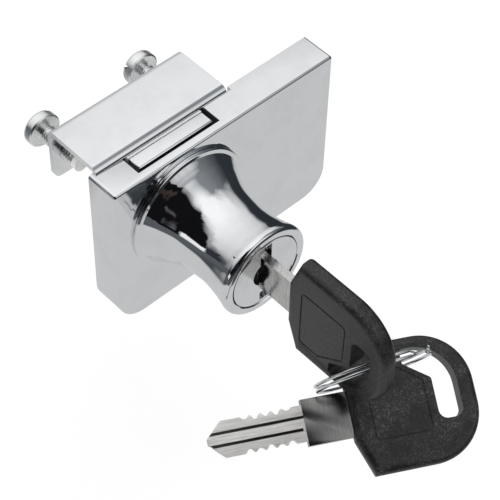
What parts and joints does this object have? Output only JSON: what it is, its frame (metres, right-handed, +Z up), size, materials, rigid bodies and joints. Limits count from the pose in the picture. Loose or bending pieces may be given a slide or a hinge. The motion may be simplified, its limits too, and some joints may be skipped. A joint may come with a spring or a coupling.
{
  "type": "clamp-on cabinet lock",
  "caption": "Clamp-on lock for a glass cabinet door: key-turned plug in a waisted knob lifts a flat bolt out of a thin case; keys on a split ring.",
  "frame": {"origin": "where the clamped glass door's top front edge sits in the clamp, midway along the clamp", "axes": "+Z up out of the case's top, the way the bolt rises; +Y into the cabinet, through the glass; +X to the right along the plate, seen from the front"},
  "size_m": [0.0688, 0.1023, 0.0456],
  "materials": {
    "case_chrome": "bright chrome plating on a zinc casting, with a soft broad sheen on the front",
    "bracket_chrome": "bright chrome plating on bent steel sheet",
    "bolt_chrome": "bright chrome plating",
    "knob_chrome": "mirror chrome plating",
    "cylinder": "turned brass",
    "plug_face": "chrome plated face, turned and lightly brushed",
    "zinc": "bright zinc plated steel",
    "pad": "pale soft foam pad",
    "guide": "black slip sheet",
    "tip": "pale soft plastic tip",
    "key_steel": "nickel plated, coarsely brushed",
    "key_plastic": "black moulded plastic with a fine satin grain",
    "ring_steel": "bright spring wire",
    "wafer_brass": "stamped brass",
    "spring_steel": "bright spring wire"
  },
  "bodies": {
    "lock_case": {"case": "case_chrome", "clamp_bracket": "bracket_chrome", "glass_pad": "pad", "door_pad": "pad", "bolt_guide": "guide", "knob": "knob_chrome", "cylinder_body": "cylinder", "back_screws": "zinc", "knob_screws": "zinc"},
    "plug_assembly": {"plug": "plug_face", "drive_cam": "zinc", "cam_screw": "zinc", "wafer_spring_1": "spring_steel", "wafer_spring_2": "spring_steel", "wafer_spring_3": "spring_steel", "wafer_spring_4": "spring_steel", "wafer_spring_5": "spring_steel"},
    "bolt_body": {"bolt": "bolt_chrome"},
    "key_in_plug": {"key_1_blade": "key_steel", "key_1_head": "key_plastic"},
    "split_ring": {"key_ring": "ring_steel"},
    "second_key": {"key_2_blade": "key_steel", "key_2_head": "key_plastic"},
    "tip_left": {"tip_pad_left": "tip"},
    "screw_left": {"clamp_screw_left": "zinc"},
    "tip_right": {"tip_pad_right": "tip"},
    "screw_right": {"clamp_screw_right": "zinc"},
    "wafer_body_1": {"wafer_1": "wafer_brass"},
    "wafer_body_2": {"wafer_2": "wafer_brass"},
    "wafer_body_3": {"wafer_3": "wafer_brass"},
    "wafer_body_4": {"wafer_4": "wafer_brass"},
    "wafer_body_5": {"wafer_5": "wafer_brass"}
  },
  "joints": [
    {"name": "plug_turn", "type": "hinge", "parent": "lock_case", "child": "plug_assembly", "pos_m": [0, -0.02, -0.0164], "axis": [0, 1, 0], "range_deg": [0, 90]},
    {"name": "bolt_slide", "type": "slide", "parent": "lock_case", "child": "bolt_body", "axis": [0, 0, 1], "range_m": [0, 0.00708]},
    {"name": "key_withdraw", "type": "slide", "parent": "plug_assembly", "child": "key_in_plug", "axis": [0, -1, 0], "range_m": [0, 0.022]},
    {"name": "ring_turn", "type": "hinge", "parent": "key_in_plug", "child": "split_ring", "pos_m": [0.00604, -0.05874, -0.02922], "axis": [0.3148, 0.8264, 0.4668], "range_deg": [0, 15]},
    {"name": "second_key_turn", "type": "hinge", "parent": "split_ring", "child": "second_key", "pos_m": [0.00604, -0.05874, -0.02922], "axis": [0.3148, 0.8264, 0.4668], "range_deg": [0, 12]},
    {"name": "wafer_1_slide", "type": "slide", "parent": "plug_assembly", "child": "wafer_body_1", "axis": [0, 0, 1], "range_m": [0, 0.0006], "deforming": ["wafer_spring_1"]},
    {"name": "wafer_2_slide", "type": "slide", "parent": "plug_assembly", "child": "wafer_body_2", "axis": [0, 0, -1], "range_m": [0, 0.0006], "deforming": ["wafer_spring_2"]},
    {"name": "wafer_3_slide", "type": "slide", "parent": "plug_assembly", "child": "wafer_body_3", "axis": [0, 0, 1], "range_m": [0, 0.0006], "deforming": ["wafer_spring_3"]},
    {"name": "wafer_4_slide", "type": "slide", "parent": "plug_assembly", "child": "wafer_body_4", "axis": [0, 0, -1], "range_m": [0, 0.0006], "deforming": ["wafer_spring_4"]},
    {"name": "wafer_5_slide", "type": "slide", "parent": "plug_assembly", "child": "wafer_body_5", "axis": [0, 0, 1], "range_m": [0, 0.0006], "deforming": ["wafer_spring_5"]},
    {"name": "tip_left_slide", "type": "slide", "parent": "lock_case", "child": "tip_left", "axis": [0, -1, 0], "range_m": [-0.0035, 0.0039]},
    {"name": "clamp_screw_left_turn", "type": "hinge", "parent": "tip_left", "child": "screw_left", "pos_m": [-0.01345, 0.015, -0.0075], "axis": [0, -1, 0], "range_deg": [-1801, 2007]},
    {"name": "tip_right_slide", "type": "slide", "parent": "lock_case", "child": "tip_right", "axis": [0, -1, 0], "range_m": [-0.0035, 0.0039]},
    {"name": "clamp_screw_right_turn", "type": "hinge", "parent": "tip_right", "child": "screw_right", "pos_m": [0.01345, 0.015, -0.0075], "axis": [0, -1, 0], "range_deg": [-1801, 2007]}
  ],
  "couplings": [
    {"joint": "bolt_slide", "follows": "plug_turn", "m_per_rad": 0.0045016},
    {"joint": "wafer_1_slide", "follows": "key_withdraw", "ratio": 0.02727},
    {"joint": "wafer_2_slide", "follows": "key_withdraw", "ratio": 0.02727},
    {"joint": "wafer_3_slide", "follows": "key_withdraw", "ratio": 0.02727},
    {"joint": "wafer_4_slide", "follows": "key_withdraw", "ratio": 0.02727},
    {"joint": "wafer_5_slide", "follows": "key_withdraw", "ratio": 0.02727},
    {"joint": "clamp_screw_left_turn", "follows": "tip_left_slide", "rad_per_m": 8976},
    {"joint": "clamp_screw_right_turn", "follows": "tip_right_slide", "rad_per_m": 8976}
  ]
}
